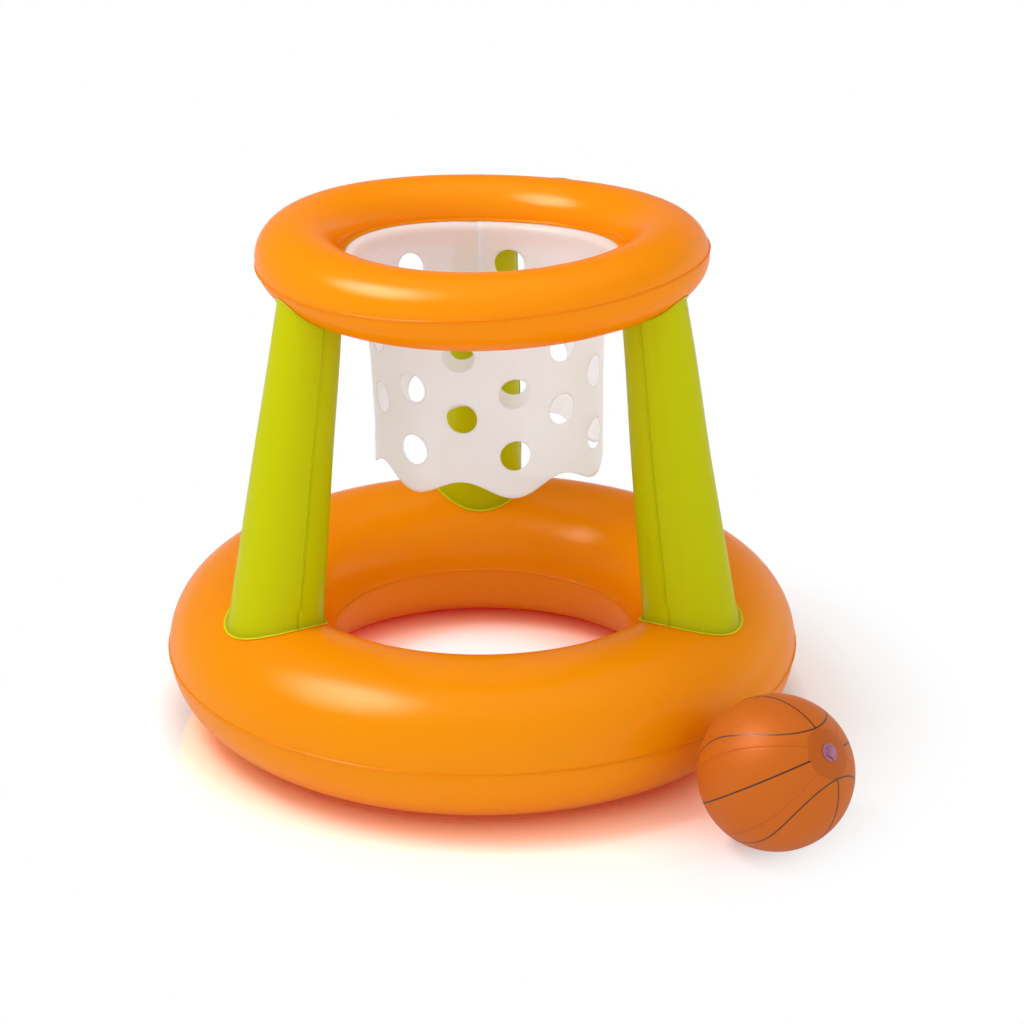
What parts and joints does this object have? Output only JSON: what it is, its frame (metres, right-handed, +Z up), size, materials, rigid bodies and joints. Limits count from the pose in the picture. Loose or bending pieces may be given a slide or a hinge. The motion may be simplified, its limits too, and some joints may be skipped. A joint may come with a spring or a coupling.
{
  "type": "floating basketball hoop",
  "caption": "Inflatable pool hoop: a wide base ring, posts, a hoop ring with a punched net skirt, and an inflatable ball beside it.",
  "frame": {"origin": "middle of the set's outline, hoop and ball together, on the floor it stands on", "axes": "+Z up along the hoop's axis; -Y towards the side with the ball in front; +X to the ball's side"},
  "size_m": [0.6886, 0.744, 0.5297],
  "materials": {
    "orange_vinyl": "smooth glossy inflated vinyl film, orange",
    "lime_vinyl": "smooth satin inflated vinyl film, lime yellow",
    "net_vinyl": "translucent white vinyl sheet, satin",
    "ball_vinyl": "satin brown-orange vinyl film with thin dark printed lines",
    "valve_vinyl": "clear soft vinyl moulding with a violet cast"
  },
  "bodies": {
    "stand": {"base_ring_top_panel": "orange_vinyl", "base_ring_bottom_panel": "orange_vinyl", "hoop_ring_top_panel": "orange_vinyl", "hoop_ring_bottom_panel": "orange_vinyl", "post_left_outer_panel": "lime_vinyl", "post_left_inner_panel": "lime_vinyl", "post_right_outer_panel": "lime_vinyl", "post_right_inner_panel": "lime_vinyl", "post_rear_outer_panel": "lime_vinyl", "post_rear_inner_panel": "lime_vinyl", "net": "net_vinyl", "base_valve_flange": "valve_vinyl", "hoop_valve_flange": "valve_vinyl"},
    "base_stem": {"base_valve_stem": "valve_vinyl"},
    "base_plug": {"base_valve_plug": "valve_vinyl"},
    "base_flap": {"base_valve_flap": "valve_vinyl"},
    "hoop_stem": {"hoop_valve_stem": "valve_vinyl"},
    "hoop_plug": {"hoop_valve_plug": "valve_vinyl"},
    "hoop_flap": {"hoop_valve_flap": "valve_vinyl"},
    "ball": {"ball_gore_1": "ball_vinyl", "ball_gore_2": "ball_vinyl", "ball_gore_3": "ball_vinyl", "ball_gore_4": "ball_vinyl", "ball_gore_5": "ball_vinyl", "ball_gore_6": "ball_vinyl", "ball_valve_disc": "ball_vinyl", "ball_plain_disc": "ball_vinyl", "ball_valve_flange": "valve_vinyl"},
    "ball_stem": {"ball_valve_stem": "valve_vinyl"},
    "ball_plug": {"ball_valve_plug": "valve_vinyl"},
    "ball_flap": {"ball_valve_flap": "valve_vinyl"}
  },
  "joints": [
    {"name": "base_stem_push", "type": "slide", "parent": "stand", "child": "base_stem", "axis": [0.3547, 0.7193, 0.5973], "range_m": [0, 0.008]},
    {"name": "base_plug_pull", "type": "slide", "parent": "base_stem", "child": "base_plug", "axis": [0.3547, 0.7193, 0.5973], "range_m": [0, 0.012]},
    {"name": "base_flap_swing", "type": "hinge", "parent": "base_stem", "child": "base_flap", "pos_m": [0.12513, 0.31483, 0.11162], "axis": [0.2642, 0.5357, -0.802], "range_deg": [0, 60], "stiffness_Nm_per_rad": 0.0002},
    {"name": "hoop_stem_push", "type": "slide", "parent": "stand", "child": "hoop_stem", "axis": [0.2894, 0.5869, 0.7562], "range_m": [0, 0.008]},
    {"name": "hoop_plug_pull", "type": "slide", "parent": "hoop_stem", "child": "hoop_plug", "axis": [0.2894, 0.5869, 0.7562], "range_m": [0, 0.012]},
    {"name": "hoop_flap_swing", "type": "hinge", "parent": "hoop_stem", "child": "hoop_flap", "pos_m": [0.08081, 0.22497, 0.50941], "axis": [0.3344, 0.6782, -0.6544], "range_deg": [0, 60], "stiffness_Nm_per_rad": 0.0002},
    {"name": "ball_lift", "type": "slide", "parent": "stand", "child": "ball", "axis": [0, 0, 1], "range_m": [0, 0.6]},
    {"name": "ball_stem_push", "type": "slide", "parent": "ball", "child": "ball_stem", "axis": [0.5771, -0.5771, 0.5779], "range_m": [0, 0.008]},
    {"name": "ball_plug_pull", "type": "slide", "parent": "ball_stem", "child": "ball_plug", "axis": [0.5771, -0.5771, 0.5779], "range_m": [0, 0.012]},
    {"name": "ball_flap_swing", "type": "hinge", "parent": "ball_stem", "child": "ball_flap", "pos_m": [0.3084, -0.33017, 0.11209], "axis": [0.4086, -0.4086, -0.8161], "range_deg": [0, 60], "stiffness_Nm_per_rad": 0.0002}
  ]
}
